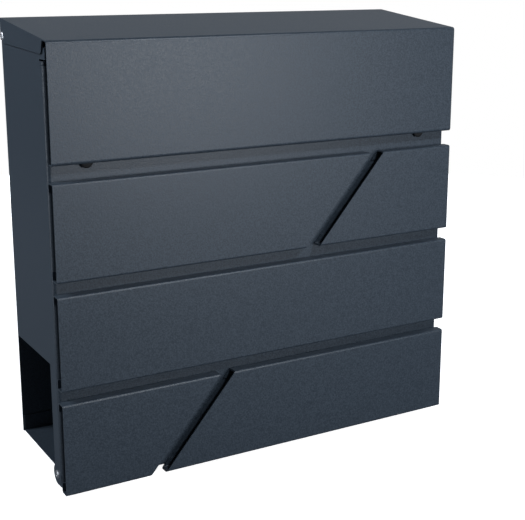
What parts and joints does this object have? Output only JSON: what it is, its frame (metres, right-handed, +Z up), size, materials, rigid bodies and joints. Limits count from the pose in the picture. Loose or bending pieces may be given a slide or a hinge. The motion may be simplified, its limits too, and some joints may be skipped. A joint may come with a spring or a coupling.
{
  "type": "wall mounted mailbox",
  "caption": "Wall mounted mailbox in anthracite powder coated steel with a hinged lid, a lockable bottom hinged door with raised row panels and an open newspaper tray.",
  "frame": {"origin": "centre of the four wall holes, on the back face of the back panel", "axes": "+X to the right seen from the front, -Y out of the front, +Z up; the back face is the plane Y = 0"},
  "size_m": [0.3726, 0.11, 0.3648],
  "materials": {
    "powder_coat": "fine textured matt powder coat, anthracite",
    "steel_rivet": "satin blind rivet",
    "black_rubber": "matt",
    "chrome": "polished plate",
    "zinc_steel": "zinc plated"
  },
  "bodies": {
    "root": {"back_panel": "powder_coat", "side_panel_left": "powder_coat", "side_panel_right": "powder_coat", "top_band": "powder_coat", "letter_floor": "powder_coat", "newspaper_tray": "powder_coat", "door_pivot_rivets": "steel_rivet", "lid_pivot_rivets": "steel_rivet"},
    "lid": {"lid_cover": "powder_coat"},
    "door": {"door_pan": "powder_coat", "row_two_left": "powder_coat", "row_two_right": "powder_coat", "row_three": "powder_coat", "row_four_left": "powder_coat", "row_four_right": "powder_coat", "panel_rivets": "steel_rivet", "bumper_left": "black_rubber", "bumper_right": "black_rubber", "lock_housing": "chrome", "lock_nut": "zinc_steel"},
    "lock": {"lock_plug": "chrome", "lock_cam": "zinc_steel", "cam_screw": "zinc_steel"}
  },
  "joints": [
    {"name": "lid_hinge", "type": "hinge", "parent": "root", "child": "lid", "pos_m": [0, -0.006, 0.1275], "axis": [-1, 0, 0], "range_deg": [0, 95]},
    {"name": "door_hinge", "type": "hinge", "parent": "root", "child": "door", "pos_m": [0, -0.09, -0.212], "axis": [1, 0, 0], "range_deg": [0, 13.3]},
    {"name": "lock_turn", "type": "hinge", "parent": "door", "child": "lock", "pos_m": [0, -0.09, 0.081], "axis": [0, 1, 0], "range_deg": [0, 90]}
  ],
  "couplings": [
    {"joint": "door_hinge", "follows": "lid_hinge", "ratio": 0.14}
  ]
}
